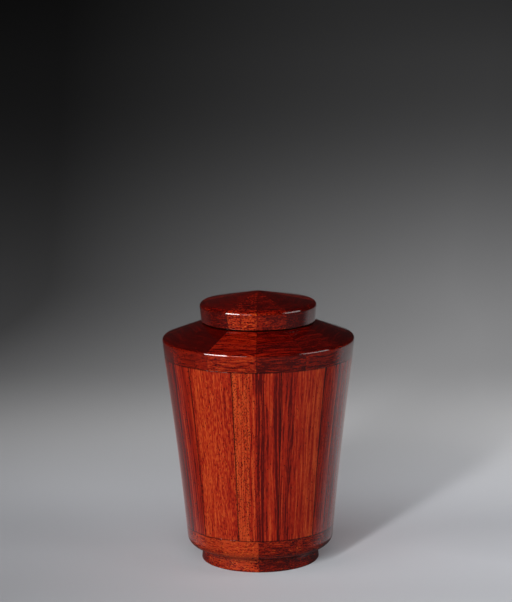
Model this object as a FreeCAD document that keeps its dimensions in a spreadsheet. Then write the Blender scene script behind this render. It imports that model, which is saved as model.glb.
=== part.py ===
"""Turned tea caddy glued up from mitred wooden segments, with a lift-off lid.

Lengths are in millimetres. The origin is the centre of the foot's underside, +Z is up and -Y is the front.
Every turned piece is an outline in the radius and height plane, swept round the Z axis.
"""

import FreeCAD, Part

import math
import os
import Sketcher

DRIVING_SIZES = {
    "segment_count": 12,
    "foot_bore_radius": 24.0,
    "foot_neck_radius": 30.2,
    "foot_flare": 0.7,
    "foot_height": 7.6,
    "foot_edge_round": 0.6,
    "base_overhang": 7.8,
    "base_flare": 0.9,
    "base_height": 11.3,
    "base_round": 6.2,
    "floor_lift": 3.0,
    "floor_thickness": 5.0,
    "floor_clearance": 0.2,
    "stave_length": 90.3,
    "stave_flare": 10.3,
    "stave_hollow": 0.5,
    "stave_wall": 6.5,
    "shoulder_flare": 0.95,
    "shoulder_side_height": 9.4,
    "shoulder_edge_round": 1.6,
    "shoulder_rise": 8.1,
    "mouth_radius": 24.0,
    "mouth_edge_round": 0.5,
    "rim_land": 4.6,
    "lid_land": 3.2,
    "lid_lip": 2.5,
    "lid_flare": 0.9,
    "lid_gap": 0.5,
    "lid_side_height": 9.6,
    "lid_edge_round": 1.4,
    "lid_rise": 6.1,
    "lid_peak_round": 13.0,
    "plug_depth": 9.0,
    "plug_inset": 3.0,
    "plug_clearance": 0.4,
    "plug_glue_gap": 0.15,
    "plug_lead": 1.0,
    "seal_cord": 2.2,
    "seal_clearance": 0.05,
    "seal_side_play": 0.2,
    "seal_drop": 4.5,
}

# A rounded edge takes at most this share of the face that it runs out on
ROUND_SHARE = 0.9

# Radii, each worked out from the one below it
FOOT_RADIUS = "Sizes.foot_neck_radius + Sizes.foot_flare"
BASE_CORNER_RADIUS = "Sizes.foot_neck_radius + Sizes.base_overhang"
STAVE_FOOT_RADIUS = f"{BASE_CORNER_RADIUS} + Sizes.base_flare"
STAVE_HEAD_RADIUS = f"{STAVE_FOOT_RADIUS} + Sizes.stave_flare"
SHOULDER_RADIUS = f"{STAVE_HEAD_RADIUS} + Sizes.shoulder_flare"
CHAMBER_FOOT_RADIUS = f"{STAVE_FOOT_RADIUS} - Sizes.stave_wall"
CHAMBER_HEAD_RADIUS = f"{STAVE_HEAD_RADIUS} - Sizes.stave_wall"
RIM_RADIUS = "Sizes.mouth_radius + Sizes.rim_land"
LID_LAND_RADIUS = "Sizes.mouth_radius + Sizes.lid_land"
LID_FOOT_RADIUS = f"{LID_LAND_RADIUS} + Sizes.lid_lip"
LID_RADIUS = f"{LID_FOOT_RADIUS} + Sizes.lid_flare"
PLUG_RADIUS = "Sizes.mouth_radius - Sizes.plug_clearance"
PLUG_RECESS_RADIUS = f"{PLUG_RADIUS} + Sizes.plug_glue_gap"
GROOVE_RADIUS = "Sizes.mouth_radius - Sizes.seal_cord - 2 * Sizes.seal_clearance"
SEAL_RING_RADIUS = "Sizes.mouth_radius - Sizes.seal_clearance - Sizes.seal_cord / 2"

# Heights, stacked from the ground up
FLOOR_SEAT = "Sizes.foot_height + Sizes.floor_lift"
BASE_TOP = "Sizes.foot_height + Sizes.base_height"
STAVE_TOP = f"{BASE_TOP} + Sizes.stave_length"
SHOULDER_EDGE = f"{STAVE_TOP} + Sizes.shoulder_side_height"
RIM = f"{SHOULDER_EDGE} + Sizes.shoulder_rise"
LID_FOOT = f"{RIM} + Sizes.lid_gap"
LID_EDGE = f"{LID_FOOT} + Sizes.lid_side_height"
LID_PEAK = f"{LID_EDGE} + Sizes.lid_rise"
PLUG_TOP = f"{RIM} + Sizes.plug_inset"
PLUG_BOTTOM = f"{RIM} - Sizes.plug_depth"
SEAL_HEIGHT = f"{RIM} - Sizes.seal_drop"
GROOVE_LOW = f"{SEAL_HEIGHT} - Sizes.seal_cord / 2 - Sizes.seal_side_play"
GROOVE_HIGH = f"{SEAL_HEIGHT} + Sizes.seal_cord / 2 + Sizes.seal_side_play"

SEGMENT_ANGLE = "360 / Sizes.segment_count"
FRONT_ANGLE = -90

ON_AXIS = "0"
ON_GROUND = "0"

# Places on a piece of sketch geometry, and the sketch's own axes and origin, as the sketcher numbers them
START, END, CENTRE = range(1, 4)
HORIZONTAL_AXIS, VERTICAL_AXIS = range(-1, -3, -1)
ORIGIN_POINT = (HORIZONTAL_AXIS, START)


def make_sheet(doc):
    """Put the driving sizes in a spreadsheet, one aliased cell each."""
    sheet = doc.addObject("Spreadsheet::Sheet", "Sizes")
    for row, (alias, value) in enumerate(DRIVING_SIZES.items(), start=1):
        sheet.set(f"A{row}", alias)
        sheet.set(f"B{row}", str(value))
        sheet.setAlias(f"B{row}", alias)
    doc.recompute()
    return sheet


class Outline:
    """A closed outline in the radius and height plane, drawn from its corners, anticlockwise.

    corners holds a pair of expressions for each corner: its radius and its height.
    rounds maps a corner to the radius of its rounded edge, and hollows maps the corner at
    which a side starts to the depth by which that side curves inward.
    peak is a corner on the axis, rounded over with the radius given in rounds.
    """

    def __init__(self, sketch, corners, rounds=None, hollows=None, peak=None):
        self.sketch = sketch
        self.corners = corners
        self.rounds = rounds or {}
        self.hollows = hollows or {}
        self.peak = peak
        self.points = [FreeCAD.Vector(self.value(x), self.value(y), 0) for x, y in corners]
        self.sides = [self.draw_side(index) for index in range(len(corners))]
        for index in range(len(corners)):
            self.join_corner(index)

    def value(self, expression):
        """The number that an expression has now, for the first drawing of a point."""
        return float(self.sketch.evalExpression(expression))

    def after(self, index):
        return (index + 1) % len(self.corners)

    def rounded_ends(self, index):
        """Where a corner's rounded edge leaves the side before it and meets the side after it."""
        corner = self.points[index]
        radius = self.value(self.rounds[index])
        before = (self.points[index - 1] - corner).normalize()
        after = (self.points[self.after(index)] - corner).normalize()
        if index == self.peak:
            slope = math.atan2(-before.y, before.x)
            centre = corner - FreeCAD.Vector(0, radius / math.cos(slope), 0)
            leaving = centre + radius * FreeCAD.Vector(math.sin(slope), math.cos(slope), 0)
            return leaving, centre + FreeCAD.Vector(0, radius, 0), centre
        half_angle = before.getAngle(after) / 2
        reach = radius / math.tan(half_angle)
        centre = corner + (before + after).normalize() * (radius / math.sin(half_angle))
        return corner + before * reach, corner + after * reach, centre

    def draw_side(self, index):
        """Draw the side from a corner to the next one, and give its number and its two ends in order."""
        following = self.after(index)
        first = self.rounded_ends(index)[1] if index in self.rounds else self.points[index]
        last = self.rounded_ends(following)[0] if following in self.rounds else self.points[following]
        if index not in self.hollows:
            return self.sketch.addGeometry(Part.LineSegment(first, last)), START, END
        depth = self.value(self.hollows[index])
        chord = last - first
        inward = FreeCAD.Vector(-chord.y, chord.x, 0).normalize()
        arc = Part.ArcOfCircle(last, (first + last) / 2 + inward * depth, first)
        side = self.sketch.addGeometry(arc)
        radius = f"(({self.span(index)}) / 4 + pow({self.hollows[index]}; 2)) / (2 * {self.hollows[index]})"
        self.bind(Sketcher.Constraint("Radius", side, self.value(radius)), f"side_{index}_radius", radius)
        return side, END, START

    def span(self, index):
        """The square of the distance between a corner and the next one, as an expression."""
        (x_first, y_first), (x_last, y_last) = self.corners[index], self.corners[self.after(index)]
        return f"pow({x_last} - ({x_first}); 2) + pow({y_last} - ({y_first}); 2)"

    def bind(self, constraint, name, expression):
        """Add a dimension and tie it to the sheet."""
        number = self.sketch.addConstraint(constraint)
        self.sketch.renameConstraint(number, name)
        self.sketch.setExpression(f"Constraints.{name}", expression)

    def place(self, geometry, end, index):
        """Hold a point at a corner's radius and height."""
        radius, height = self.corners[index]
        if radius == ON_AXIS:
            self.sketch.addConstraint(Sketcher.Constraint("PointOnObject", geometry, end, VERTICAL_AXIS))
        else:
            across = Sketcher.Constraint("DistanceX", *ORIGIN_POINT, geometry, end, self.value(radius))
            self.bind(across, f"corner_{index}_radius", radius)
        if height == ON_GROUND:
            self.sketch.addConstraint(Sketcher.Constraint("PointOnObject", geometry, end, HORIZONTAL_AXIS))
        else:
            upward = Sketcher.Constraint("DistanceY", *ORIGIN_POINT, geometry, end, self.value(height))
            self.bind(upward, f"corner_{index}_height", height)

    def join_corner(self, index):
        """Join the sides that meet at a corner, straight or by a rounded edge, and dimension it."""
        before, _, before_end = self.sides[index - 1]
        after, after_end, _ = self.sides[index]
        if index not in self.rounds:
            self.sketch.addConstraint(Sketcher.Constraint("Coincident", before, before_end, after, after_end))
            self.place(after, after_end, index)
            return
        leaving, meeting, centre = self.rounded_ends(index)
        start_angle = math.atan2(leaving.y - centre.y, leaving.x - centre.x)
        end_angle = math.atan2(meeting.y - centre.y, meeting.x - centre.x)
        circle = Part.Circle(centre, FreeCAD.Vector(0, 0, 1), leaving.distanceToPoint(centre))
        arc = self.sketch.addGeometry(Part.ArcOfCircle(circle, start_angle, end_angle))
        corner = self.sketch.addGeometry(Part.Point(self.points[index]), True)
        self.sketch.addConstraint(Sketcher.Constraint("Tangent", before, before_end, arc, START))
        if index == self.peak:
            self.sketch.addConstraint(Sketcher.Constraint("Coincident", arc, END, after, after_end))
            self.sketch.addConstraint(Sketcher.Constraint("PointOnObject", arc, CENTRE, VERTICAL_AXIS))
            self.sketch.addConstraint(Sketcher.Constraint("PointOnObject", arc, END, VERTICAL_AXIS))
        else:
            self.sketch.addConstraint(Sketcher.Constraint("Tangent", arc, END, after, after_end))
            self.sketch.addConstraint(Sketcher.Constraint("PointOnObject", corner, START, after))
        self.sketch.addConstraint(Sketcher.Constraint("PointOnObject", corner, START, before))
        self.place(corner, START, index)
        radius = self.rounds[index]
        self.bind(Sketcher.Constraint("Radius", arc, self.value(radius)), f"corner_{index}_round", radius)


def origin_plane(body, role):
    return next(plane for plane in body.Origin.OriginFeatures if plane.Role == role)


def make_turned(doc, name, corners, angle="360", **curves):
    """A body made by sweeping an outline round the Z axis, through an angle centred on the XZ plane."""
    body = doc.addObject("PartDesign::Body", name)
    sketch = body.newObject("Sketcher::SketchObject", f"{name}_outline")
    sketch.AttachmentSupport = (origin_plane(body, "XZ_Plane"), [""])
    sketch.MapMode = "FlatFace"
    Outline(sketch, corners, **curves)
    turning = body.newObject("PartDesign::Revolution", f"{name}_turning")
    turning.Profile = sketch
    turning.ReferenceAxis = (sketch, ["V_Axis"])
    turning.Midplane = True
    turning.setExpression("Angle", angle)
    return body


def make_ring(doc, name, count, first_turn, corners, **curves):
    """A ring of equal mitred segments. The first one's middle is first_turn segments past the front."""
    segments = []
    for index in range(count):
        segment = make_turned(doc, f"{name}_{index + 1:02d}", corners, SEGMENT_ANGLE, **curves)
        turn = f"{FRONT_ANGLE} + ({first_turn} + {index}) * {SEGMENT_ANGLE}"
        segment.setExpression("Placement.Rotation.Angle", turn)
        segments.append(segment)
    return segments


def limited(size, face):
    """A rounded edge's radius, kept within the face that it runs out on."""
    return f"min({size}; {ROUND_SHARE} * ({face}))"


def make_base_segments(doc, count, first_turn):
    """The base ring, with the foot turned on its underside and a rebate inside for the floor."""
    corners = [
        ("Sizes.foot_bore_radius", ON_GROUND),
        (FOOT_RADIUS, ON_GROUND),
        ("Sizes.foot_neck_radius", "Sizes.foot_height"),
        (BASE_CORNER_RADIUS, "Sizes.foot_height"),
        (STAVE_FOOT_RADIUS, BASE_TOP),
        (CHAMBER_FOOT_RADIUS, BASE_TOP),
        (CHAMBER_FOOT_RADIUS, FLOOR_SEAT),
        ("Sizes.foot_bore_radius", FLOOR_SEAT),
    ]
    rounds = {
        1: limited("Sizes.foot_edge_round", "Sizes.foot_height"),
        3: limited("Sizes.base_round", "min(Sizes.base_overhang; Sizes.base_height)"),
    }
    return make_ring(doc, "base_segment", count, first_turn, corners, rounds=rounds)


def make_staves(doc, count, first_turn):
    """The tapered wall, whose outer face is slightly hollow along its length."""
    corners = [
        (CHAMBER_FOOT_RADIUS, BASE_TOP),
        (STAVE_FOOT_RADIUS, BASE_TOP),
        (STAVE_HEAD_RADIUS, STAVE_TOP),
        (CHAMBER_HEAD_RADIUS, STAVE_TOP),
    ]
    return make_ring(doc, "stave", count, first_turn, corners, hollows={1: "Sizes.stave_hollow"})


def make_shoulder_segments(doc, count, first_turn):
    """The sloping shoulder ring, whose bore is the mouth and whose flat rim carries the lid."""
    corners = [
        ("Sizes.mouth_radius", STAVE_TOP),
        (STAVE_HEAD_RADIUS, STAVE_TOP),
        (SHOULDER_RADIUS, SHOULDER_EDGE),
        (RIM_RADIUS, RIM),
        ("Sizes.mouth_radius", RIM),
    ]
    rounds = {
        2: limited("Sizes.shoulder_edge_round", "Sizes.shoulder_side_height / 2"),
        4: limited("Sizes.mouth_edge_round", "Sizes.rim_land"),
    }
    return make_ring(doc, "shoulder_segment", count, first_turn, corners, rounds=rounds)


def make_lid_segments(doc, count, first_turn):
    """The lid's wedges, which meet at its peak, with a recess beneath for the plug."""
    corners = [
        (PLUG_RECESS_RADIUS, RIM),
        (LID_LAND_RADIUS, RIM),
        (LID_LAND_RADIUS, LID_FOOT),
        (LID_FOOT_RADIUS, LID_FOOT),
        (LID_RADIUS, LID_EDGE),
        (ON_AXIS, LID_PEAK),
        (ON_AXIS, PLUG_TOP),
        (PLUG_RECESS_RADIUS, PLUG_TOP),
    ]
    rounds = {
        4: limited("Sizes.lid_edge_round", "Sizes.lid_side_height / 2"),
        5: "Sizes.lid_peak_round",
    }
    return make_ring(doc, "lid_segment", count, first_turn, corners, rounds=rounds, peak=5)


def make_floor(doc):
    """The floor of the tea chamber, dropped into the base ring's rebate."""
    body = doc.addObject("PartDesign::Body", "floor_disc")
    sketch = body.newObject("Sketcher::SketchObject", "floor_disc_outline")
    sketch.AttachmentSupport = (origin_plane(body, "XY_Plane"), [""])
    sketch.MapMode = "FlatFace"
    radius = f"{CHAMBER_FOOT_RADIUS} - Sizes.floor_clearance"
    first_radius = float(sketch.evalExpression(radius))
    upward = FreeCAD.Vector(0, 0, 1)
    circle = sketch.addGeometry(Part.Circle(FreeCAD.Vector(0, 0, 0), upward, first_radius))
    sketch.addConstraint(Sketcher.Constraint("Coincident", circle, CENTRE, *ORIGIN_POINT))
    number = sketch.addConstraint(Sketcher.Constraint("Radius", circle, first_radius))
    sketch.renameConstraint(number, "floor_radius")
    sketch.setExpression("Constraints.floor_radius", radius)
    pad = body.newObject("PartDesign::Pad", "floor_disc_pad")
    pad.Profile = sketch
    pad.setExpression("Length", "Sizes.floor_thickness")
    body.setExpression("Placement.Base.z", FLOOR_SEAT)
    return body


def make_plug(doc):
    """The turned plug under the lid, grooved for the seal and tapered at its foot."""
    corners = [
        (ON_AXIS, PLUG_BOTTOM),
        (f"{PLUG_RADIUS} - Sizes.plug_lead", PLUG_BOTTOM),
        (PLUG_RADIUS, f"{PLUG_BOTTOM} + Sizes.plug_lead"),
        (PLUG_RADIUS, GROOVE_LOW),
        (GROOVE_RADIUS, GROOVE_LOW),
        (GROOVE_RADIUS, GROOVE_HIGH),
        (PLUG_RADIUS, GROOVE_HIGH),
        (PLUG_RADIUS, PLUG_TOP),
        (ON_AXIS, PLUG_TOP),
    ]
    return make_turned(doc, "lid_plug", corners)


def make_seal(doc):
    """The round seal in the plug's groove, which closes the mouth."""
    seal = doc.addObject("Part::Torus", "lid_seal")
    seal.setExpression("Radius1", SEAL_RING_RADIUS)
    seal.setExpression("Radius2", "Sizes.seal_cord / 2")
    seal.setExpression("Placement.Base.z", SEAL_HEIGHT)
    return seal


def check_document(doc, nodes):
    """Stop if any object failed or any node has no valid solid."""
    for item in doc.Objects:
        if "Invalid" in item.State or "Error" in item.State:
            raise RuntimeError(f"{item.Label} did not recompute: {item.State}")
    for node in nodes:
        if node.Shape.isNull() or not node.Shape.isValid() or len(node.Shape.Solids) != 1:
            raise RuntimeError(f"{node.Label} is not one valid solid")


def main():
    doc = FreeCAD.newDocument("tea_caddy")
    sheet = make_sheet(doc)
    count = int(sheet.get("segment_count"))
    # The rings meet at the front, and the staves lie half a segment out of step with them
    ring_turn, stave_turn = 0.5, 0
    nodes = make_base_segments(doc, count, ring_turn)
    nodes += make_staves(doc, count, stave_turn)
    nodes += make_shoulder_segments(doc, count, ring_turn)
    nodes += make_lid_segments(doc, count, ring_turn)
    nodes += [make_floor(doc), make_plug(doc), make_seal(doc)]
    doc.recompute()
    check_document(doc, nodes)
    os.makedirs("parts", exist_ok=True)
    for node in nodes:
        node.Shape.exportStep(os.path.join("parts", f"{node.Label}.step"))


main()
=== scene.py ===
"""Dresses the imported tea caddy: turned segments and staves in striped, lacquered hardwood, with its lid."""
import math
import random

import bpy
from mathutils import Matrix, Vector


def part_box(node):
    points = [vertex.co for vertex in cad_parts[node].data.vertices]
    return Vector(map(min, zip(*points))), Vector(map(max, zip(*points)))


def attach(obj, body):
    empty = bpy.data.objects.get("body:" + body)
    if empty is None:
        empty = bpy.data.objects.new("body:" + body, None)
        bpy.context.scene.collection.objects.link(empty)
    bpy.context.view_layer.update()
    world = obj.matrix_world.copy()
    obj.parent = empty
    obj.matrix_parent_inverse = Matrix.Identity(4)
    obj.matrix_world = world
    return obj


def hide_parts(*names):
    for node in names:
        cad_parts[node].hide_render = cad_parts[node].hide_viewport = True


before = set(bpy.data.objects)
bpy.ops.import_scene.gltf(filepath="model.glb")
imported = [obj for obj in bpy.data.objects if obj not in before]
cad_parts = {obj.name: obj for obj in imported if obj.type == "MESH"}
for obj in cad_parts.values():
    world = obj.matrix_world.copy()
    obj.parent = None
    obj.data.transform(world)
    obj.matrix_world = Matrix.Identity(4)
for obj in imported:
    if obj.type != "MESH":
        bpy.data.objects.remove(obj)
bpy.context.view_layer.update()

# Units: the scene is in metres, the wood's own coordinates are in millimetres
MM = 0.001
PER_METRE = 1000.0
FULL_TURN = 2 * math.pi

# Ring layout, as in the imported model: the front is -Y, and a ring seam stands in the middle of it
SEGMENTS = 12
SEGMENT_ANGLE = FULL_TURN / SEGMENTS
FRONT = -math.pi / 2
RING_LEAD = 0.5
STAVE_LEAD = 0.0

# Fineness of the turned meshes
SEGMENT_STEPS = 20
TURN_STEPS = 144
CORD_STEPS = 20
SEAM_STEP = math.radians(0.12)
ARC_STEP = math.radians(7)
CROWN_FINENESS = 3
SIDE_STEPS = 10
SHARP_ANGLE = math.radians(24)
MERGE_DISTANCE = 2e-6

# Edges that the turner eased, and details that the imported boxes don't give
JOINT_EASE = 0.06 * MM
FOOT_RADIUS = 30.9 * MM
FOOT_NECK = 30.2 * MM
FOOT_HEIGHT = 7.6 * MM
FOOT_EDGE = 0.6 * MM
FOOT_BORE_EDGE = 0.5 * MM
BASE_CORNER = 38.0 * MM
BASE_ROUND = 6.2 * MM
STAVE_HOLLOW = 0.5 * MM
SHOULDER_CORNER = (50.15 * MM, 118.6 * MM)
SHOULDER_ROUND = 1.8 * MM
SHOULDER_RIM = 28.6 * MM
RIM_EASE = 0.3 * MM
MOUTH_EDGE = 0.5 * MM
LID_LAND = 27.2 * MM
LID_LIFT = 0.5 * MM
LAND_GAP = 0.02 * MM
LID_LIP = 29.7 * MM
LIP_EASE = 0.25 * MM
LID_CORNER = (30.6 * MM, 136.8 * MM)
LID_ROUND = 2.3 * MM
LID_PEAK = 142.9 * MM
PEAK_ROUND = 13.0 * MM
PLUG_LEAD = 1.0 * MM
PLUG_EDGE = 0.3 * MM
GROOVE_GAP = 0.2 * MM
GROOVE_FLOOR_GAP = 0.05 * MM
FLOOR_EASE = 0.4 * MM


def measured(node):
    """Lowest and highest z of a CAD node, and its smallest and largest distance from the turning axis."""
    low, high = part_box(node)
    reaches = [math.hypot(vertex.co.x, vertex.co.y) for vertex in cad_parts[node].data.vertices]
    return low[2], high[2], min(reaches), max(reaches)


def rounded(corners, rounds):
    """The points of a closed outline, with the corners named in rounds turned into arcs of that radius."""
    points = []
    for index, corner in enumerate(corners):
        here = Vector(corner)
        radius = rounds.get(index)
        if not radius:
            points.append(here)
            continue
        back = (Vector(corners[index - 1]) - here).normalized()
        ahead = (Vector(corners[(index + 1) % len(corners)]) - here).normalized()
        opening = back.angle(ahead)
        centre = here + (back + ahead).normalized() * radius / math.sin(opening / 2)
        start = here + back * radius / math.tan(opening / 2) - centre
        end = here + ahead * radius / math.tan(opening / 2) - centre
        sweep = math.atan2(start.x * end.y - start.y * end.x, start.dot(end))
        steps = max(2, math.ceil(abs(sweep) / ARC_STEP))
        for step in range(steps + 1):
            points.append(centre + Matrix.Rotation(sweep * step / steps, 2) @ start)
    return points


def hollow_side(start, end, depth):
    """The points between two corners of a side that is hollowed towards the axis by depth at its middle."""
    points = []
    for step in range(1, SIDE_STEPS):
        share = step / SIDE_STEPS
        point = Vector(start).lerp(Vector(end), share)
        point.x -= depth * (1 - (2 * share - 1) ** 2)
        points.append(tuple(point))
    return points


def base_outline():
    low, high, bore, stave_foot = measured("base_segment_01")
    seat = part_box("floor_disc")[0][2]
    chamber = measured("stave_01")[2]
    corners = [
        (bore, low),
        (FOOT_RADIUS, low),
        (FOOT_NECK, low + FOOT_HEIGHT),
        (BASE_CORNER, low + FOOT_HEIGHT),
        (stave_foot, high),
        (chamber, high),
        (chamber, seat),
        (bore, seat),
    ]
    return rounded(corners, {0: FOOT_BORE_EDGE, 1: FOOT_EDGE, 3: BASE_ROUND, 4: JOINT_EASE})


def stave_outline():
    low, high, inner_foot, outer_top = measured("stave_01")
    outer_foot = measured("base_segment_01")[3]
    wall = outer_foot - inner_foot
    foot, top = (outer_foot, low), (outer_top, high)
    side = hollow_side(foot, top, STAVE_HOLLOW)
    corners = [(inner_foot, low), foot] + side + [top, (outer_top - wall, high)]
    return rounded(corners, {1: JOINT_EASE, 2 + len(side): JOINT_EASE})


def shoulder_outline():
    low, high, mouth, _ = measured("shoulder_segment_01")
    stave_top = measured("stave_01")[3]
    corners = [(mouth, low), (stave_top, low), SHOULDER_CORNER, (SHOULDER_RIM, high), (mouth, high)]
    rounds = {0: MOUTH_EDGE, 1: JOINT_EASE, 2: SHOULDER_ROUND, 3: RIM_EASE, 4: MOUTH_EDGE}
    return rounded(corners, rounds)


def lid_outline():
    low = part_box("lid_segment_01")[0][2]
    _, plug_top, _, plug_radius = measured("lid_plug")
    slope = math.atan2(LID_PEAK - LID_CORNER[1], LID_CORNER[0])
    centre = LID_PEAK - PEAK_ROUND / math.cos(slope)
    steps = math.ceil(slope / ARC_STEP) * CROWN_FINENESS
    crown = []
    for step in range(steps + 1):
        lean = slope * (1 - step / steps)
        crown.append((PEAK_ROUND * math.sin(lean), centre + PEAK_ROUND * math.cos(lean)))
    corners = [
        (0.0, plug_top),
        (plug_radius, plug_top),
        (plug_radius, low + LAND_GAP),
        (LID_LAND, low + LAND_GAP),
        (LID_LAND, low + LID_LIFT),
        (LID_LIP, low + LID_LIFT),
        LID_CORNER,
    ]
    return rounded(corners + crown, {5: LIP_EASE, 6: LID_ROUND})


def plug_outline():
    low, high, _, radius = measured("lid_plug")
    seal_low, seal_high = (corner[2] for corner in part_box("lid_seal"))
    groove = measured("lid_seal")[2] - GROOVE_FLOOR_GAP
    corners = [
        (0.0, low),
        (radius - PLUG_LEAD, low),
        (radius, low + PLUG_LEAD),
        (radius, seal_low - GROOVE_GAP),
        (groove, seal_low - GROOVE_GAP),
        (groove, seal_high + GROOVE_GAP),
        (radius, seal_high + GROOVE_GAP),
        (radius, high),
        (0.0, high),
    ]
    return rounded(corners, {1: PLUG_EDGE, 2: PLUG_EDGE})


def floor_outline():
    low, high, _, radius = measured("floor_disc")
    corners = [(0.0, low), (radius, low), (radius, high), (0.0, high)]
    return rounded(corners, {1: FLOOR_EASE, 2: FLOOR_EASE})


def seal_outline():
    low, high, inner, outer = measured("lid_seal")
    cord = (high - low) / 2
    middle = Vector(((inner + outer) / 2, (low + high) / 2))
    turns = [FULL_TURN * step / CORD_STEPS for step in range(CORD_STEPS)]
    return [middle + cord * Vector((math.cos(turn), math.sin(turn))) for turn in turns]


# Node trees

class Graph:
    """Adds nodes to a tree and links them. An input is given a value or another node's output."""

    def __init__(self, tree):
        self.tree = tree

    def add(self, kind, inputs=None, **settings):
        node = self.tree.nodes.new(kind)
        for name, value in settings.items():
            setattr(node, name, value)
        for key, value in (inputs or {}).items():
            if isinstance(value, bpy.types.NodeSocket):
                self.tree.links.new(value, node.inputs[key])
            else:
                node.inputs[key].default_value = value
        return node

    def math(self, operation, *values, clamp=False):
        node = self.add("ShaderNodeMath", dict(enumerate(values)), operation=operation, use_clamp=clamp)
        return node.outputs[0]

    def plus(self, *terms):
        total = terms[0]
        for term in terms[1:]:
            total = self.math("ADD", total, term)
        return total

    def minus(self, first, second):
        return self.math("SUBTRACT", first, second)

    def times(self, *factors):
        product = factors[0]
        for factor in factors[1:]:
            product = self.math("MULTIPLY", product, factor)
        return product

    def rest(self, share):
        """What is left of the whole when a share is taken."""
        return self.math("SUBTRACT", 1.0, share)

    def vector(self, operation, *values):
        node = self.add("ShaderNodeVectorMath", dict(enumerate(values)), operation=operation)
        return node.outputs["Value" if operation == "LENGTH" else "Vector"]

    def parts(self, vector):
        return self.add("ShaderNodeSeparateXYZ", {0: vector}).outputs

    def whole(self, x, y, z):
        return self.add("ShaderNodeCombineXYZ", {0: x, 1: y, 2: z}).outputs[0]

    def ease(self, value, start, end, low=0.0, high=1.0):
        """Low up to the start, high from the end on, with a smooth rise or fall between them."""
        inputs = {"Value": value, "From Min": start, "From Max": end, "To Min": low, "To Max": high}
        return self.add("ShaderNodeMapRange", inputs, interpolation_type="SMOOTHSTEP").outputs["Result"]

    def mix(self, share, first, second, blend="MIX"):
        inputs = {0: share, 6: first, 7: second}
        return self.add("ShaderNodeMix", inputs, data_type="RGBA", blend_type=blend).outputs[2]

    def noise(self, vector, scale, detail, output="Fac"):
        inputs = {"Vector": vector, "Scale": scale, "Detail": detail}
        return self.add("ShaderNodeTexNoise", inputs).outputs[output]


def node_group(name, kind, inputs, outputs):
    """A new group with these sockets: its tree, a graph to build it with, and the values it is given."""
    tree = bpy.data.node_groups.new(name, kind)
    for direction, sockets in (("INPUT", inputs), ("OUTPUT", outputs)):
        for label, value_kind in sockets:
            tree.interface.new_socket(label, in_out=direction, socket_type="NodeSocket" + value_kind)
    graph = Graph(tree)
    return tree, graph, graph.add("NodeGroupInput").outputs


# Turning: how level a face is to count as a top face, for the painted shading of top faces, and where the
# painted shade on the foot under the base's overhang ends, in mm
TOP_SLOPE = (0.25, 0.75)
FOOT_TOP = FOOT_HEIGHT * PER_METRE
FOOT_BLEND = 0.8


def round_axis(graph, point, turn):
    """A point that is drawn as radius and height, turned round the axis."""
    radius, height, _ = graph.parts(point)
    x = graph.times(radius, graph.math("COSINE", turn))
    y = graph.times(radius, graph.math("SINE", turn))
    return graph.whole(x, y, height)


def swept_wall(graph, given, position):
    """The outline swept round: a grid with one row for each outline point and one column for each step."""
    outline, steps, sweep, seam = (given[name] for name in ("Outline", "Steps", "Sweep", "Seam Step"))
    domain = graph.add("GeometryNodeAttributeDomainSize", {0: outline}, component="MESH")
    count = domain.outputs["Point Count"]
    size = {0: 1.0, 1: 1.0, 2: graph.plus(count, 1), 3: graph.plus(steps, 1)}
    grid = graph.add("GeometryNodeMeshGrid", size).outputs["Mesh"]
    across, along, _ = graph.parts(position)
    row = graph.math("ROUND", graph.times(graph.plus(across, 0.5), count))
    row = graph.math("FLOORED_MODULO", row, count)
    column = graph.math("ROUND", graph.times(graph.plus(along, 0.5), steps))

    # The first and the last step are a seam step wide, and the others share the rest evenly
    share = graph.math("DIVIDE", graph.minus(column, 1), graph.minus(steps, 2), clamp=True)
    even = graph.times(share, graph.minus(sweep, graph.times(seam, 2)))
    first_seam = graph.times(graph.math("MINIMUM", column, 1), seam)
    past_last = graph.math("MAXIMUM", graph.minus(column, graph.minus(steps, 1)), 0)
    last_seam = graph.times(past_last, seam)
    angle = graph.minus(graph.plus(even, first_seam, last_seam), graph.times(sweep, 0.5))
    inputs = {"Geometry": outline, "Value": position, "Index": row}
    sample = graph.add("GeometryNodeSampleIndex", inputs, data_type="FLOAT_VECTOR", domain="POINT")
    placed = {"Geometry": grid, "Position": round_axis(graph, sample.outputs[0], angle)}
    wall = graph.add("GeometryNodeSetPosition", placed)
    return graph.add("GeometryNodeFlipFaces", {0: wall.outputs[0]}).outputs[0]


def closed_piece(graph, given, position, wall):
    """The wall, closed with a face at each mitre if the piece is mitred."""
    curve = graph.add("GeometryNodeMeshToCurve", {0: given["Outline"]}).outputs[0]
    face = graph.add("GeometryNodeFillCurve", {0: curve}, mode="NGONS").outputs[0]
    half = graph.times(given["Sweep"], 0.5)
    mitres = []
    for turn in (half, graph.times(half, -1)):
        placed = {"Geometry": face, "Position": round_axis(graph, position, turn)}
        mitres.append(graph.add("GeometryNodeSetPosition", placed).outputs[0])
    end, start = mitres
    end = graph.add("GeometryNodeFlipFaces", {0: end}).outputs[0]
    closed = graph.add("GeometryNodeJoinGeometry")
    for part in (end, start, wall):
        graph.tree.links.new(part, closed.inputs[0])
    choice = {"Switch": given["Mitred"], "False": wall, "True": closed.outputs[0]}
    chosen = graph.add("GeometryNodeSwitch", choice, input_type="GEOMETRY").outputs[0]
    merged = {"Geometry": chosen, "Distance": MERGE_DISTANCE}
    return graph.add("GeometryNodeMergeByDistance", merged).outputs[0]


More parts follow.
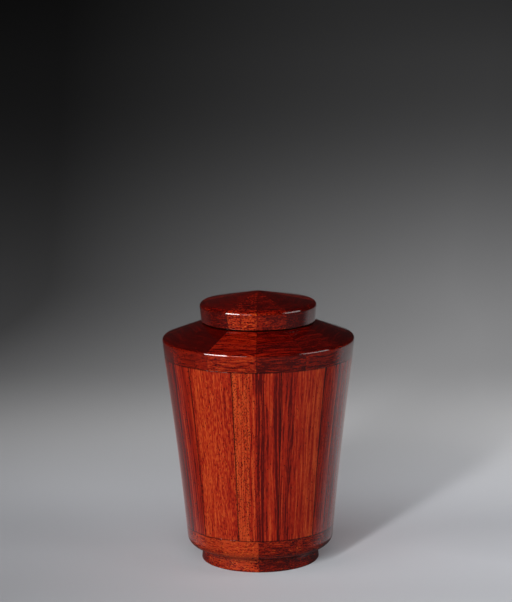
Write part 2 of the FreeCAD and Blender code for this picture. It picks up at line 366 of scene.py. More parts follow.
def laid_wood(graph, given, position, piece):
    """The piece with the wood's coordinates, the board's own values and the painted shading of its top faces
    and foot stored on it.
    """
    # Board: across, out from the axis, up. Timber: two ways across the grain, then along it
    out, side, up = graph.parts(graph.vector("MULTIPLY", position, (PER_METRE, PER_METRE, PER_METRE)))
    lying = graph.whole(out, up, side)
    upright = graph.whole(side, graph.minus(out, graph.times(up, given["Grain Slope"])), up)
    choice = {"Switch": given["Grain Upright"], "False": lying, "True": upright}
    grain = graph.add("GeometryNodeSwitch", choice, input_type="VECTOR").outputs[0]
    spin = {"Vector": grain, "Angle": given["Board Spin"]}
    spun = graph.add("ShaderNodeVectorRotate", spin, rotation_type="Z_AXIS").outputs[0]

    normal = graph.add("GeometryNodeInputNormal").outputs[0]
    top_face = graph.ease(graph.parts(normal)[2], *TOP_SLOPE)
    # Painted shade: the foot, under the base's overhang, is made darker
    foot = graph.ease(up, FOOT_TOP + FOOT_BLEND, FOOT_TOP - FOOT_BLEND)
    # The tone is the board's own tone and lean, plus painted shading on top faces and painted shade on the
    # foot
    tone_and_shading = graph.plus(
        given["Tone"],
        graph.times(given["Tone Lean"], side),
        graph.times(given["Top Shading"], top_face),
        graph.times(given["Foot Shading"], foot),
    )
    stored = [
        ("board", "FLOAT_VECTOR", graph.whole(side, out, up)),
        ("timber", "FLOAT_VECTOR", graph.vector("ADD", spun, given["Board Place"])),
        ("streak", "FLOAT_VECTOR", given["Streak"]),
        ("second_streak", "FLOAT_VECTOR", given["Second Streak"]),
        ("tone_and_shading", "FLOAT", tone_and_shading),
        ("pores", "FLOAT", graph.plus(given["Pores"], graph.times(given["Pore Lean"], side))),
        ("stripe", "FLOAT", given["Stripe"]),
        ("vivid", "FLOAT", given["Vivid"]),
        ("top_face", "FLOAT", top_face),
    ]
    for name, kind, value in stored:
        inputs = {"Geometry": piece, "Name": name, "Value": value}
        store = graph.add("GeometryNodeStoreNamedAttribute", inputs, data_type=kind, domain="POINT")
        piece = store.outputs[0]
    return piece


def turned_tree():
    """Sweeps an outline, drawn as radius and height, round the turning axis, and lays the wood on it."""
    inputs = [
        ("Outline", "Geometry"),
        ("Sweep", "Float"),
        ("Turn", "Float"),
        ("Steps", "Int"),
        ("Seam Step", "Float"),
        ("Mitred", "Bool"),
        ("Grain Upright", "Bool"),
        ("Grain Slope", "Float"),
        ("Board Place", "Vector"),
        ("Board Spin", "Float"),
        ("Streak", "Vector"),
        ("Second Streak", "Vector"),
        ("Tone", "Float"),
        ("Tone Lean", "Float"),
        ("Top Shading", "Float"),
        ("Foot Shading", "Float"),
        ("Pores", "Float"),
        ("Pore Lean", "Float"),
        ("Stripe", "Float"),
        ("Vivid", "Float"),
        ("Finish", "Material"),
    ]
    tree, graph, given = node_group("turned piece", "GeometryNodeTree", inputs, [("Piece", "Geometry")])
    position = graph.add("GeometryNodeInputPosition").outputs[0]
    wall = swept_wall(graph, given, position)
    piece = closed_piece(graph, given, position, wall)
    piece = laid_wood(graph, given, position, piece)
    turn = graph.whole(0.0, 0.0, given["Turn"])
    turned = graph.add("GeometryNodeTransform", {"Geometry": piece, "Rotation": turn})
    smooth = graph.add("GeometryNodeSetShadeSmooth", {"Geometry": turned.outputs[0]})
    real = graph.add("GeometryNodeRealizeInstances", {"Geometry": smooth.outputs[0]})
    finish = {"Geometry": real.outputs[0], "Material": given["Finish"]}
    finished = graph.add("GeometryNodeSetMaterial", finish)
    graph.add("NodeGroupOutput", {"Piece": finished.outputs[0]})
    return tree


def outline_mesh(name, points):
    mesh = bpy.data.meshes.new(name)
    edges = [(index, (index + 1) % len(points)) for index in range(len(points))]
    mesh.from_pydata([(point[0], point[1], 0.0) for point in points], edges, [])
    return mesh


def turned_piece(name, tree, outline, values):
    """One finished piece: the tree's result for these values as a plain mesh."""
    piece = bpy.data.objects.new(name, outline)
    bpy.context.scene.collection.objects.link(piece)
    modifier = piece.modifiers.new("turning", "NODES")
    modifier.node_group = tree
    for socket in tree.interface.items_tree:
        if socket.name in values:
            modifier[socket.identifier] = values[socket.name]
    evaluated = piece.evaluated_get(bpy.context.evaluated_depsgraph_get())
    mesh = bpy.data.meshes.new_from_object(evaluated)
    piece.modifiers.clear()
    piece.data = mesh
    mesh.name = name
    mesh.set_sharp_from_angle(angle=SHARP_ANGLE)
    return piece


# Timber: drift of the grain, as its rate per mm across and along, its detail and its reach in mm
WANDER = (0.06, 0.012, 2.0, 3.5)
RIPPLE = (0.30, 0.05, 1.0, 0.5)

# Timber: growth layers per mm of depth with their detail, and strokes per mm across and along the grain
BROAD_LAYERS = (0.22, 1.0)
FINE_LAYERS = (0.75, 2.0)
STRANDS = (1.05, 0.008)
FIBRES = (1.90, 0.06)
MOTTLE = (0.45, 0.06)
CURL = (1.80, 0.42)
FLECKS = (1.70, 0.40)
PORES = (1.9, 1.9, 0.80)

# Timber: how much each part of the figure counts, and the tints at which one wood turns into the next
BROAD_WEIGHT = 0.40
FINE_WEIGHT = 0.65
STRAND_WEIGHT = 0.95
MOTTLE_WEIGHT = 0.45
CURL_WEIGHT = 1.15
FIBRE_WEIGHT = 1.00
FLECKED_LEVEL = 1.15
DARK_TO_RED = (0.10, 0.52)
RED_TO_PALE = (0.44, 0.88)

# Timber: streaks follow the wander in part, and are stronger and weaker from strand to strand
STREAK_WANDER = 0.6
STREAK_BREAKS = (0.3, 0.65, 1.2, 0.6)
STREAK_EDGE = (1.0, 0.3)

# Timber: flecks and pores by their size in their cells, their chance and the wood they are found in
FLECK_SIZE = (0.48, 0.15)
FLECK_CHANCE = (0.35, 0.90, 0.0, 0.75)
FLECK_TINT = (0.34, 0.66)
PORE_SIZE = (0.50, 0.25)
PORE_CROWDING = (0.36, 0.64, 0.5, 1.3)
PORE_DARKNESS = 0.88

# Timber: top faces have fewer flecks, and painted shade makes them darker and redder
TOP_CALM = 0.7
TOP_SHADE = 0.7
TOP_SHADE_TINT = (0.70, 0.14, 0.20, 1.0)


def timber_group():
    """Striped hardwood: growth layers round a far pith, fibres, flecks, pores and two dark streaks."""
    inputs = [
        ("Timber", "Vector"),
        ("Board", "Vector"),
        ("Streak", "Vector"),
        ("Second Streak", "Vector"),
        ("Tone", "Float"),
        ("Stripe", "Float"),
        ("Vivid", "Float"),
        ("Pores", "Float"),
        ("Top Face", "Float"),
        ("Grain Length", "Float"),
        ("Pale Wood", "Color"),
        ("Red Wood", "Color"),
        ("Dark Wood", "Color"),
        ("Pore Colour", "Color"),
        ("Fleck Colour", "Color"),
    ]
    outputs = [("Color", "Color"), ("Pores", "Float"), ("Fibre", "Float")]
    tree, graph, given = node_group("striped timber", "ShaderNodeTree", inputs, outputs)
    timber, vivid, striped = given["Timber"], given["Vivid"], given["Stripe"]

    def drift(across, along, detail, reach):
        spread = graph.vector("MULTIPLY", timber, (across, across, along))
        shift = graph.vector("SUBTRACT", graph.noise(spread, 1.0, detail, "Color"), (0.5, 0.5, 0.5))
        return graph.vector("MULTIPLY", shift, (reach, reach, 0.0))

    # The grain wanders slowly along the board and ripples a little
    wander = drift(*WANDER)
    ripple = drift(*RIPPLE)
    grain = graph.vector("ADD", timber, graph.vector("ADD", wander, ripple))
    depth = graph.vector("LENGTH", graph.vector("MULTIPLY", grain, (1.0, 1.0, 0.0)))

    def layers(rate, detail):
        values = {"W": graph.times(depth, rate), "Scale": 1.0, "Detail": detail}
        return graph.add("ShaderNodeTexNoise", values, noise_dimensions="1D").outputs["Fac"]

    def stretched(across, along):
        along = graph.math("DIVIDE", along, given["Grain Length"])
        return graph.vector("MULTIPLY", grain, graph.whole(across, across, along))

    def strokes(across, along):
        return graph.noise(stretched(across, along), 1.0, 1.0)

    # Growth layers, strands and fibres, from broad to fine, and the curl of a flecked board
    broad = layers(*BROAD_LAYERS)
    strand = strokes(*STRANDS)
    fibre = strokes(*FIBRES)
    flecked = graph.minus(FLECKED_LEVEL, striped)
    figures = [
        (broad, BROAD_WEIGHT, striped),
        (layers(*FINE_LAYERS), FINE_WEIGHT, striped),
        (strand, STRAND_WEIGHT, striped),
        (strokes(*MOTTLE), MOTTLE_WEIGHT, flecked),
        (strokes(*CURL), CURL_WEIGHT, flecked),
        (fibre, FIBRE_WEIGHT, 1.0),
    ]
    # The given tone holds the painted shading of top faces and of the foot as well as the board's own tone
    tint = graph.plus(given["Tone"], 0.5)
    for figure, weight, share in figures:
        tint = graph.plus(tint, graph.times(graph.minus(figure, 0.5), weight, vivid, share))

    # The board's two darker streaks, which follow the wander of the grain
    across = graph.plus(graph.parts(given["Board"])[0], graph.times(graph.parts(wander)[0], STREAK_WANDER))
    broken = graph.ease(strand, *STREAK_BREAKS)
    for streak in (given["Streak"], given["Second Streak"]):
        place, width, strength = graph.parts(streak)
        off = graph.math("ABSOLUTE", graph.minus(across, place))
        line = graph.ease(graph.math("DIVIDE", off, width), *STREAK_EDGE)
        tint = graph.minus(tint, graph.times(line, strength, broken))
    colour = graph.mix(graph.ease(tint, *DARK_TO_RED), given["Dark Wood"], given["Red Wood"])
    colour = graph.mix(graph.ease(tint, *RED_TO_PALE), colour, given["Pale Wood"])

    # Flecks: short paler strokes in the paler wood
    cells = graph.add("ShaderNodeTexVoronoi", {"Vector": stretched(*FLECKS), "Scale": 1.0}).outputs
    flecks = graph.times(
        graph.ease(cells["Distance"], *FLECK_SIZE),
        graph.ease(graph.parts(cells["Color"])[1], *FLECK_CHANCE),
        graph.ease(tint, *FLECK_TINT),
        flecked,
        vivid,
        graph.rest(graph.times(given["Top Face"], TOP_CALM)),
    )
    colour = graph.mix(flecks, colour, given["Fleck Colour"])
    # Painted shade: top faces are made darker and redder, as they lie in less light
    colour = graph.mix(graph.times(given["Top Face"], TOP_SHADE), colour, TOP_SHADE_TINT, blend="MULTIPLY")

    # Pores: short open vessels, crowded in some growth layers
    spread = graph.vector("MULTIPLY", grain, PORES)
    cells = graph.add("ShaderNodeTexVoronoi", {"Vector": spread, "Scale": 1.0}).outputs
    crowd = graph.times(given["Pores"], graph.ease(broad, *PORE_CROWDING))
    open_cells = graph.math("LESS_THAN", graph.parts(cells["Color"])[0], crowd)
    pores = graph.times(graph.ease(cells["Distance"], *PORE_SIZE), open_cells)
    colour = graph.mix(graph.times(pores, PORE_DARKNESS), colour, given["Pore Colour"])
    graph.add("NodeGroupOutput", {"Color": colour, "Pores": pores, "Fibre": fibre})
    return tree


# Glued joints and the painted gap shade: the solid share of each kind of line, and the patches in which the
# level joints are fainter
MITRE_CORE = 0.4
JOINT_CORE = 0.2
GAP_SHADE_CORE = 0.6
PATCH_SCALE = 0.35
PATCH_DETAIL = 2.0
PATCH_LEVELS = (0.35, 0.65, 0.55, 1.0)


def joint_and_shade_group():
    """The dark glued seams at the mitres and the level joints, and a painted shade line in the gap where the
    lid meets the rim.
    """
    inputs = [
        ("Board", "Vector"),
        ("Half Angle", "Float"),
        ("Mitre Width", "Float"),
        ("Mitre Strength", "Float"),
        ("Low Joint", "Float"),
        ("High Joint", "Float"),
        ("Joint Width", "Float"),
        ("Joint Strength", "Float"),
        ("Gap Shade Line", "Float"),
        ("Gap Shade Width", "Float"),
        ("Gap Shade Radius", "Float"),
    ]
    tree, graph, given = node_group("joint lines and gap shade", "ShaderNodeTree", inputs, [("Joint Lines And Gap Shade", "Float")])
    board, half = given["Board"], given["Half Angle"]
    across, out, up = graph.parts(board)

    def line(distance, width, core):
        return graph.ease(graph.math("DIVIDE", distance, width), 1.0, core)

    def distance_to(level):
        return graph.math("ABSOLUTE", graph.minus(up, level))

    reach = graph.times(out, graph.math("SINE", half))
    spent = graph.times(graph.math("ABSOLUTE", across), graph.math("COSINE", half))
    mitre = line(graph.minus(reach, spent), given["Mitre Width"], MITRE_CORE)
    mitre = graph.times(mitre, given["Mitre Strength"])
    nearest = graph.math("MINIMUM", distance_to(given["Low Joint"]), distance_to(given["High Joint"]))
    patches = graph.ease(graph.noise(board, PATCH_SCALE, PATCH_DETAIL), *PATCH_LEVELS)
    joint = graph.times(line(nearest, given["Joint Width"], JOINT_CORE), patches, given["Joint Strength"])
    # Painted shade: a dark line in the gap between the lid's lip and the shoulder's rim, where shade falls
    from_axis = graph.vector("LENGTH", graph.whole(across, out, 0.0))
    outside = graph.math("GREATER_THAN", from_axis, given["Gap Shade Radius"])
    gap_shade = graph.times(line(distance_to(given["Gap Shade Line"]), given["Gap Shade Width"], GAP_SHADE_CORE), outside)
    joints_and_shade = graph.math("MAXIMUM", graph.math("MAXIMUM", mitre, joint), gap_shade)
    graph.add("NodeGroupOutput", {"Joint Lines And Gap Shade": joints_and_shade})
    return tree


def new_material(name):
    material = bpy.data.materials.new(name)
    material.use_nodes = True
    material.node_tree.nodes.clear()
    return material, Graph(material.node_tree)


def add_surface(graph, inputs):
    shader = graph.add("ShaderNodeBsdfPrincipled", inputs)
    graph.add("ShaderNodeOutputMaterial", {"Surface": shader.outputs[0]})


# Finishes: how rough the coat is and how much rougher its pores are; a haze varies the gloss a little
LACQUER = (0.05, 0.05)
OIL = (0.38, 0.15)
CLEAR_COAT_IOR = 1.6
HAZE_SCALE = 55.0
HAZE_DETAIL = 3.0
HAZE_RANGE = (0.35, 0.75)
HAZE_GAIN = 1.6
FIBRE_HEIGHT = 0.25
GRAIN_RELIEF = 0.10
GRAIN_DEPTH = 0.2 * MM

# Colours of the woods, the pores, and the dark glued joints with the painted gap shade; the figure of the
# rings is shorter along the grain
STAVE_COLOURS = {
    "Grain Length": 1.0,
    "Pale Wood": (0.580, 0.068, 0.014, 1.0),
    "Red Wood": (0.340, 0.014, 0.004, 1.0),
    "Dark Wood": (0.090, 0.003, 0.002, 1.0),
    "Fleck Colour": (0.640, 0.110, 0.012, 1.0),
}
RING_COLOURS = {
    "Grain Length": 0.45,
    "Pale Wood": (0.460, 0.040, 0.008, 1.0),
    "Red Wood": (0.240, 0.009, 0.002, 1.0),
    "Dark Wood": (0.055, 0.0015, 0.001, 1.0),
    "Fleck Colour": (0.640, 0.120, 0.016, 1.0),
}
INNER_COLOURS = {
    "Grain Length": 1.0,
    "Pale Wood": (0.480, 0.120, 0.030, 1.0),
    "Red Wood": (0.320, 0.050, 0.014, 1.0),
    "Dark Wood": (0.120, 0.015, 0.008, 1.0),
    "Fleck Colour": (0.560, 0.190, 0.060, 1.0),
}
PORE_COLOUR = (0.045, 0.002, 0.001, 1.0)
JOINT_AND_SHADE_COLOUR = (0.012, 0.002, 0.001, 1.0)


def wood(name, timber, joints_and_shade, colours, joints, finish):
    """A wood finish: striped timber under a clear coat, with dark glued seams where the piece has joints and
    a painted shade line in the lid's gap.
    """
    material, graph = new_material(name)

    def stored(attribute, output):
        return graph.add("ShaderNodeAttribute", attribute_name=attribute).outputs[output]

    board = stored("board", "Vector")
    inputs = {
        "Timber": stored("timber", "Vector"),
        "Board": board,
        "Streak": stored("streak", "Vector"),
        "Second Streak": stored("second_streak", "Vector"),
        "Tone": stored("tone_and_shading", "Fac"),
        "Pores": stored("pores", "Fac"),
        "Stripe": stored("stripe", "Fac"),
        "Vivid": stored("vivid", "Fac"),
        "Top Face": stored("top_face", "Fac"),
        "Pore Colour": PORE_COLOUR,
    }
    figure = graph.add("ShaderNodeGroup", inputs | colours, node_tree=timber).outputs
    colour = figure["Color"]
    if joints:
        lines = graph.add("ShaderNodeGroup", {"Board": board} | joints, node_tree=joints_and_shade)
        # The joint colour also draws the painted shade in the lid's gap
        colour = graph.mix(lines.outputs["Joint Lines And Gap Shade"], colour, JOINT_AND_SHADE_COLOUR)
    place = graph.add("ShaderNodeTexCoord").outputs["Object"]
    haze = graph.noise(place, HAZE_SCALE, HAZE_DETAIL)
    smooth, pore_roughness = finish
    gloss = graph.ease(haze, *HAZE_RANGE, smooth, smooth * HAZE_GAIN)
    height = graph.minus(graph.times(figure["Fibre"], FIBRE_HEIGHT), figure["Pores"])
    relief = {"Height": height, "Strength": GRAIN_RELIEF, "Distance": GRAIN_DEPTH}
    add_surface(graph, {
        "IOR": CLEAR_COAT_IOR,
        "Base Color": colour,
        "Roughness": graph.plus(gloss, graph.times(figure["Pores"], pore_roughness)),
        "Normal": graph.add("ShaderNodeBump", relief).outputs[0],
    })
    return material


# Rubber: clouds and specks, by their scale and detail, and where they turn into the next colour
RUBBER_SHADE = (0.50, 0.47, 0.41, 1.0)
RUBBER_PALE = (0.63, 0.60, 0.53, 1.0)
RUBBER_DUST = (0.74, 0.71, 0.66, 1.0)
RUBBER_IOR = 1.42
CLOUDS = (220.0, 4.0)
CLOUD_TINT = (0.3, 0.7)
CLOUD_ROUGHNESS = (0.25, 0.75, 0.42, 0.58)
SPECKS = (2600.0, 2.0)
SPECK_DUST = (0.62, 0.74, 0.0, 0.5)
SPECK_RELIEF = 0.25
SPECK_DEPTH = 0.05 * MM


def seal_rubber():
    """Matt, slightly milky rubber with a faint mottle and dust."""
    material, graph = new_material("seal rubber")
    place = graph.add("ShaderNodeTexCoord").outputs["Object"]
    cloud = graph.noise(place, *CLOUDS)
    speck = graph.noise(place, *SPECKS)
    colour = graph.mix(graph.ease(cloud, *CLOUD_TINT), RUBBER_SHADE, RUBBER_PALE)
    relief = {"Height": speck, "Strength": SPECK_RELIEF, "Distance": SPECK_DEPTH}
    add_surface(graph, {
        "IOR": RUBBER_IOR,
        "Base Color": graph.mix(graph.ease(speck, *SPECK_DUST), colour, RUBBER_DUST),
        "Roughness": graph.ease(cloud, *CLOUD_ROUGHNESS),
        "Normal": graph.add("ShaderNodeBump", relief).outputs[0],
    })
    return material


# Boards in view: tones and pores lean from left to right, per mm
# A streak is its place and half width in mm and its strength, and a board's place in its log is in mm
STAVE_BOARDS = {
    1: {
        "Board Place": (310.0, -6.0, 2500.0),
        "Tone": 0.065,
        "Tone Lean": -0.010,
        "Stripe": 0.75,
        "Vivid": 1.0,
        "Pores": 0.44,
        "Pore Lean": -0.06,
        "Streak": (1.6, 3.4, 0.42),
        "Second Streak": (10.0, 3.0, 0.38),
    },
    2: {
        "Tone": 0.04,
        "Tone Lean": 0.004,
        "Stripe": 0.70,
        "Vivid": 0.85,
        "Pores": 0.06,
        "Streak": (-9.0, 3.2, 0.20),
    },
    3: {
        "Tone": -0.10,
        "Stripe": 0.9,
        "Vivid": 0.9,
        "Pores": 0.25,
        "Second Streak": (5.0, 2.0, 0.2),
    },
    11: {
        "Tone": -0.15,
        "Tone Lean": 0.008,
        "Stripe": 0.9,
        "Vivid": 0.8,
        "Pores": 0.15,
        "Streak": (-1.0, 1.5, 0.2),
    },
    12: {
        "Tone": 0.06,
        "Tone Lean": -0.006,
        "Stripe": 0.2,
        "Vivid": 0.82,
        "Pores": 0.14,
        "Streak": (-11.0, 2.0, 0.2),
        "Second Streak": (12.2, 1.3, 0.28),
    },
}
# Top Shading is painted shading that darkens or lightens a segment's top face; Foot Shading is painted shade
# on the foot
RING_BOARDS = {
    "base_segment": {
        1: {"Tone": -0.15, "Vivid": 1.0},
        2: {"Tone": -0.11, "Vivid": 1.0},
        11: {"Tone": 0.14, "Vivid": 1.1},
        12: {"Tone": 0.50, "Vivid": 2.2, "Foot Shading": -0.40},
    },
    "shoulder_segment": {
        1: {"Tone": -0.34, "Vivid": 0.9, "Top Shading": 0.10},
        2: {"Tone": -0.20, "Vivid": 0.8, "Top Shading": -0.08},
        3: {"Tone": -0.26, "Vivid": 0.4, "Top Shading": -0.10},
        10: {"Tone": -0.20, "Vivid": 0.4, "Top Shading": -0.10},
        11: {"Tone": -0.13, "Vivid": 0.5, "Top Shading": -0.22},
        12: {"Tone": 0.03, "Vivid": 1.2, "Top Shading": -0.06},
    },
    "lid_segment": {
        1: {"Tone": -0.17, "Vivid": 0.9, "Top Shading": -0.05},
        2: {"Tone": -0.34, "Vivid": 0.6},
        3: {"Tone": -0.30, "Vivid": 0.5},
        10: {"Tone": -0.26, "Vivid": 0.5},
        11: {"Tone": -0.32, "Vivid": 0.65, "Top Shading": 0.10},
        12: {"Tone": 0.07, "Vivid": 1.6, "Top Shading": -0.24},
    },
}
RING_STRIPES = {"base_segment": 0.35, "shoulder_segment": 0.75, "lid_segment": 0.20}
RING_PORES = 0.25
# Painted shade that darkens the foot under the base's overhang
FOOT_SHADING = -0.16
DISC_FIGURE = {"Stripe": 0.5, "Vivid": 0.9, "Pores": RING_PORES}

# Boards out of view: the limits that chance keeps to, with lengths in mm
BOARD_SEED = 7
LOOSE_STAVE = {
    "Tone": (-0.08, 0.16),
    "Tone Lean": (-0.010, 0.010),
    "Stripe": (0.2, 0.9),
    "Vivid": (0.8, 1.0),
    "Pores": (0.1, 0.5),
}
LOOSE_RING = {"Tone": (-0.28, 0.10), "Vivid": (0.65, 1.15)}
PITH_DISTANCE = (150.0, 400.0)
PITH_SIDE = (-12.0, 12.0)
LOG_PLACE = (0.0, 4000.0)
LOOSE_SPIN = (-0.30, 0.30)
STREAK_STRENGTH = (0.0, 0.3)
STREAK_PLACE = (-9.0, 9.0)
STREAK_WIDTH = (1.0, 3.0)


def drawn(chance, limits):
    return {name: chance.uniform(*limit) for name, limit in limits.items()}


def board_values(chance, upright, figure):
    """Where a board lay in its log, and how its figure differs from its neighbours'."""
    values = {
        "Board Place": tuple(chance.uniform(*limit) for limit in (PITH_DISTANCE, PITH_SIDE, LOG_PLACE)),
        "Board Spin": chance.uniform(*LOOSE_SPIN),
        "Grain Upright": upright,
    }
    for streak in ("Streak", "Second Streak"):
        strength = chance.uniform(*STREAK_STRENGTH) if upright else 0.0
        values[streak] = (chance.uniform(*STREAK_PLACE), chance.uniform(*STREAK_WIDTH), strength)
    return values | figure


def segment_values(index, lead, finish):
    return {
        "Sweep": SEGMENT_ANGLE,
        "Turn": FRONT + (index - 1 + lead) * SEGMENT_ANGLE,
        "Steps": SEGMENT_STEPS,
        "Seam Step": SEAM_STEP,
        "Mitred": True,
        "Finish": finish,
    }


def whole_turn_values(finish):
    return {
        "Sweep": FULL_TURN,
        "Turn": 0.0,
        "Steps": TURN_STEPS,
        "Seam Step": FULL_TURN / TURN_STEPS,
        "Mitred": False,
        "Finish": finish,
    }


CADDY = bpy.data.collections.new("caddy pieces")
bpy.context.scene.collection.children.link(CADDY)


def hand_over(piece, node, body):
    CADDY.objects.link(piece)
    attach(piece, body)
    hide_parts(node)


def make_ring(name, tree, points, finish, body, chance):
    outline = outline_mesh(name + " outline", points)
    common = {"Stripe": RING_STRIPES[name], "Pores": RING_PORES, "Foot Shading": FOOT_SHADING}
    for index in range(1, SEGMENTS + 1):
        node = f"{name}_{index:02d}"
        loose = drawn(chance, LOOSE_RING)
        figure = common | RING_BOARDS[name].get(index, loose)
        values = segment_values(index, RING_LEAD, finish) | board_values(chance, False, figure)
        hand_over(turned_piece(node + "_wood", tree, outline, values), node, body)


def make_staves(tree, finish, chance):
    outline = outline_mesh("stave outline", stave_outline())
    low, high, _, top = measured("stave_01")
    slope = (top - measured("base_segment_01")[3]) / (high - low)
    for index in range(1, SEGMENTS + 1):
        node = f"stave_{index:02d}"
        loose = drawn(chance, LOOSE_STAVE)
        figure = STAVE_BOARDS.get(index, loose)
        values = segment_values(index, STAVE_LEAD, finish) | board_values(chance, True, figure)
        values["Grain Slope"] = slope
        hand_over(turned_piece(node + "_wood", tree, outline, values), node, "caddy")


def make_inner_parts(tree, finish, rubber, chance):
    discs = (("floor_disc", floor_outline(), "caddy"), ("lid_plug", plug_outline(), "lid"))
    for node, points, body in discs:
        values = whole_turn_values(finish) | board_values(chance, False, DISC_FIGURE)
        piece = turned_piece(node + "_wood", tree, outline_mesh(node + " outline", points), values)
        hand_over(piece, node, body)
    values = whole_turn_values(rubber)
    piece = turned_piece("lid_seal_rubber", tree, outline_mesh("seal outline", seal_outline()), values)
    hand_over(piece, "lid_seal", "seal")


# Glued joint lines: widths in mm and strengths; the painted shade line in the lid's gap lies this far above
# the lid's underside
MITRE_WIDTH = 0.50
STAVE_MITRE_STRENGTH = 0.72
RING_MITRE_STRENGTH = 0.25
JOINT_WIDTH = 0.60
JOINT_STRENGTH = 0.75
GAP_SHADE_RISE = 0.2
GAP_SHADE_WIDTH = 0.62


def make_caddy():
    tree = turned_tree()
    timber = timber_group()
    joints_and_shade = joint_and_shade_group()
    stave_low, stave_high = (corner[2] * PER_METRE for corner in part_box("stave_01"))
    lid_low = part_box("lid_segment_01")[0][2] * PER_METRE
    joints = {
        "Half Angle": SEGMENT_ANGLE / 2,
        "Mitre Width": MITRE_WIDTH,
        "Low Joint": stave_low,
        "High Joint": stave_high,
        "Joint Width": JOINT_WIDTH,
        "Joint Strength": JOINT_STRENGTH,
        "Gap Shade Line": lid_low + GAP_SHADE_RISE,
        "Gap Shade Width": GAP_SHADE_WIDTH,
        "Gap Shade Radius": LID_LAND * PER_METRE,
    }
    stave_joints = joints | {"Mitre Strength": STAVE_MITRE_STRENGTH}
    ring_joints = joints | {"Mitre Strength": RING_MITRE_STRENGTH}
    stave_wood = wood("lacquered stave wood", timber, joints_and_shade, STAVE_COLOURS, stave_joints, LACQUER)
    ring_wood = wood("lacquered ring wood", timber, joints_and_shade, RING_COLOURS, ring_joints, LACQUER)
    inner_wood = wood("oiled inner wood", timber, joints_and_shade, INNER_COLOURS, None, OIL)
    chance = random.Random(BOARD_SEED)
    make_staves(tree, stave_wood, chance)
    make_ring("base_segment", tree, base_outline(), ring_wood, "caddy", chance)
    make_ring("shoulder_segment", tree, shoulder_outline(), ring_wood, "caddy", chance)
    make_ring("lid_segment", tree, lid_outline(), ring_wood, "lid", chance)
    make_inner_parts(tree, inner_wood, seal_rubber(), chance)


# Studio paper: distances in metres to the right of the caddy and behind it
FLOOR_REACH = 24.0
FAR_FADE = (FLOOR_REACH / 3, FLOOR_REACH * 0.9)
ROOM_LEVEL = 0.012
PAPER_PALE = (0.90, 0.90, 0.916, 1.0)
PAPER_FRONT = (0.890, 0.910, 0.965, 1.0)
PAPER_DARK = (0.030, 0.029, 0.030, 1.0)
WHITE = (1.0, 1.0, 1.0, 1.0)
FRONT_TINT = (0.05, 0.35)
PAPER_ROUGHNESS = 0.9
PAPER_SHEEN = 0.1

# Its painted light: the paper's paleness falls off to the front and the sides, with painted bands of other
# levels and a painted fan of light, paler on the right
FRONT_EDGE = 0.08
FRONT_FALL = 3.0
SIDE_FALL = 0.8
FALL_POWER = -0.95
PAPER_BANDS = [(0.04, 0.16, 1.0, 0.88), (0.30, 0.70, 1.0, 0.86), (-0.07, 0.02, 0.80, 1.0)]
FAN_START = 1.15
FAN_LEAST = 0.5
FAN_SLANT = (0.1, 0.9, 2.0, 6.3)
FAN_MIDDLE = 0.86
FAN_DARKEST = 0.2
FAN_PALEST = 1.4
MOST_PALE = 1.05

# What the lacquer mirrors of it, and the share of its bounced light that is held back
MIRROR_SHIFT = 0.05
MIRROR_BEARING = (0.12, 0.85)
MIRROR_START = (0.046, 0.062)
MIRROR_LEAST = 0.12
MIRROR_SIDE = (-0.20, 0.05, 0.55, 1.15)
BOUNCE_HELD = 0.7

# Its glow just behind the caddy and far away
GLOW_START = (0.05, 0.16, 0.10, 1.0)
GLOW_END = (0.24, 0.50, 0.15, 0.0)
GLOW_FAR = (1.5, 4.0, 0.0, 0.016)


def painted_paper_light(graph, right, behind):
    front = graph.times(graph.math("MINIMUM", graph.plus(behind, FRONT_EDGE), 0.0), FRONT_FALL)
    wide = graph.times(right, SIDE_FALL)
    spread = graph.plus(graph.times(front, front), graph.times(wide, wide))
    fall = graph.math("POWER", graph.plus(spread, 1.0), FALL_POWER)
    bands = [graph.ease(behind, *band) for band in PAPER_BANDS]
    fan = graph.math("DIVIDE", right, graph.math("MAXIMUM", graph.plus(behind, FAN_START), FAN_LEAST))
    slant = graph.plus(graph.times(fan, graph.ease(behind, *FAN_SLANT)), FAN_MIDDLE)
    slant = graph.math("MINIMUM", graph.math("MAXIMUM", slant, FAN_DARKEST), FAN_PALEST)
    return graph.math("MINIMUM", graph.times(fall, *bands, slant), MOST_PALE)


def paper_shown(graph, rays, right, behind, away):
    """The lacquer mirrors mainly the paper behind and to the right, and bounced light is held back."""
    bearing = graph.math("DIVIDE", graph.plus(behind, MIRROR_SHIFT), away)
    kept = graph.times(graph.ease(bearing, *MIRROR_BEARING), graph.ease(away, *MIRROR_START))
    kept = graph.times(graph.ease(kept, 0.0, 1.0, MIRROR_LEAST, 1.0), graph.ease(right, *MIRROR_SIDE))
    held = graph.times(graph.rest(kept), rays["Is Glossy Ray"])
    return graph.rest(graph.plus(held, graph.times(rays["Is Diffuse Ray"], BOUNCE_HELD)))


def paper_glow(graph, rays, behind, far):
    seen = graph.math("MAXIMUM", rays["Is Camera Ray"], rays["Is Glossy Ray"])
    near = graph.times(graph.ease(behind, *GLOW_START), graph.ease(behind, *GLOW_END))
    glow = graph.times(seen, graph.plus(near, graph.ease(behind, *GLOW_FAR)), graph.rest(far))
    return graph.plus(glow, graph.times(far, ROOM_LEVEL, rays["Is Camera Ray"]))


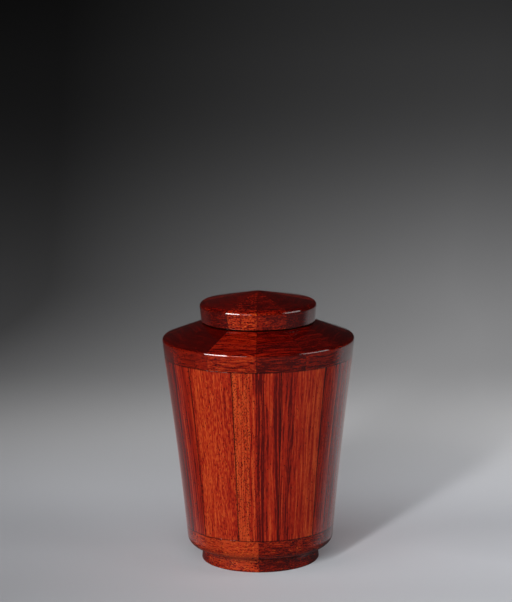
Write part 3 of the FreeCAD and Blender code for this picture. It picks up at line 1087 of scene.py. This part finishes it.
def studio_paper():
    """Paper with painted light: pale round the caddy, bluer in front of it, and fading into the room's grey
    far away.
    """
    material, graph = new_material("studio paper")
    place = graph.add("ShaderNodeTexCoord").outputs["Object"]
    right, behind, _ = graph.parts(place)
    away = graph.vector("LENGTH", place)
    far = graph.ease(away, *FAR_FADE)
    rays = graph.add("ShaderNodeLightPath").outputs
    shown = paper_shown(graph, rays, right, behind, away)
    # Painted light: the paper's paleness follows the fall and the fan of lamplight
    pale = graph.times(painted_paper_light(graph, right, behind), shown, graph.rest(far))
    lit = graph.mix(graph.ease(behind, *FRONT_TINT), PAPER_FRONT, PAPER_PALE)
    colour = graph.mix(pale, PAPER_DARK, lit)
    add_surface(graph, {
        "Base Color": colour,
        "Roughness": PAPER_ROUGHNESS,
        "Specular IOR Level": PAPER_SHEEN,
        "Emission Color": graph.mix(far, colour, WHITE),
        "Emission Strength": paper_glow(graph, rays, behind, far),
    })
    return material


def make_studio():
    mesh = bpy.data.meshes.new("studio floor")
    corners = [(-1, -1), (1, -1), (1, 1), (-1, 1)]
    mesh.from_pydata([(x * FLOOR_REACH, y * FLOOR_REACH, 0.0) for x, y in corners], [], [(0, 1, 2, 3)])
    mesh.materials.append(studio_paper())
    floor = bpy.data.objects.new("studio_floor", mesh)
    bpy.context.scene.collection.objects.link(floor)


LAMP_AIM = Vector((0.0, 0.0, 0.08))


def add_lamp(name, bearing, height, distance, size, watts, lights=True, mirrored=True, only=None):
    """A soft box at a bearing from the front, in degrees towards the right, and a height in degrees."""
    around, lift = math.radians(bearing), math.radians(height)
    away = Vector((math.sin(around) * math.cos(lift), -math.cos(around) * math.cos(lift), math.sin(lift)))
    lamp = bpy.data.lights.new(name, "AREA")
    lamp.shape = "RECTANGLE"
    lamp.size, lamp.size_y = size
    lamp.energy = watts
    holder = bpy.data.objects.new(name, lamp)
    holder.location = LAMP_AIM + away * distance
    holder.rotation_euler = away.to_track_quat("Z", "Y").to_euler()
    holder.visible_diffuse = lights
    holder.visible_glossy = mirrored
    holder.light_linking.receiver_collection = only
    bpy.context.scene.collection.objects.link(holder)


def light_studio():
    """The front lamp casts the shadow and the fills soften it; the back fills light only the caddy.

    The lacquer mirrors the two cards and the right box, which light nothing else.
    """
    add_lamp("front lamp", -21, 20, 1.5, (0.11, 0.66), 11.4, mirrored=False)
    add_lamp("camera fill", 0, 28, 1.6, (1.2, 0.8), 8.0, mirrored=False)
    add_lamp("left fill", -62, 22, 1.3, (1.2, 0.6), 5.5, mirrored=False)
    add_lamp("left card", -50, 14, 1.1, (0.56, 0.36), 12.5, lights=False)
    add_lamp("front card", -22, 14, 1.1, (0.36, 0.36), 0.85, lights=False)
    add_lamp("right fill", 74, 36, 1.3, (1.0, 0.9), 3.4, mirrored=False)
    add_lamp("right box", 74, 20, 1.2, (0.78, 0.45), 3.1, lights=False)
    add_lamp("back right fill", 145, 12, 1.5, (1.2, 0.5), 5.5, mirrored=False, only=CADDY)
    add_lamp("back left fill", -145, 12, 1.5, (1.2, 0.5), 5.5, mirrored=False, only=CADDY)
    world = bpy.data.worlds.new("studio room")
    world.use_nodes = True
    background = world.node_tree.nodes["Background"]
    background.inputs["Color"].default_value = (ROOM_LEVEL, ROOM_LEVEL, ROOM_LEVEL, 1.0)
    background.inputs["Strength"].default_value = 1.0
    bpy.context.scene.world = world


# Camera, as solved from the photograph
IMAGE_HEIGHT = 602
FOCAL_PIXELS = 2245.7
SENSOR = 36.0
CLIP_START = 0.05
CLIP_END = 60.0
CAMERA_PLACE = (-1.09 * MM, -1148.35 * MM, 343.59 * MM)
CAMERA_BEARING = math.radians(1.5)
CAMERA_DROP = math.radians(10.191)
CAMERA_ROLL = math.radians(-0.556)


def add_camera():
    data = bpy.data.cameras.new("photo camera")
    data.sensor_width = SENSOR
    data.lens = FOCAL_PIXELS * SENSOR / IMAGE_HEIGHT
    data.clip_start = CLIP_START
    data.clip_end = CLIP_END
    camera = bpy.data.objects.new("photo camera", data)
    bearing = Matrix.Rotation(CAMERA_BEARING, 4, "Z")
    aim = Matrix.Rotation(math.pi / 2 - CAMERA_DROP, 4, "X") @ Matrix.Rotation(CAMERA_ROLL, 4, "Z")
    camera.matrix_world = bearing @ Matrix.Translation(CAMERA_PLACE) @ aim
    bpy.context.scene.collection.objects.link(camera)
    bpy.context.scene.camera = camera


add_camera()
make_caddy()
make_studio()
light_studio()
bpy.context.scene.view_settings.view_transform = "Standard"
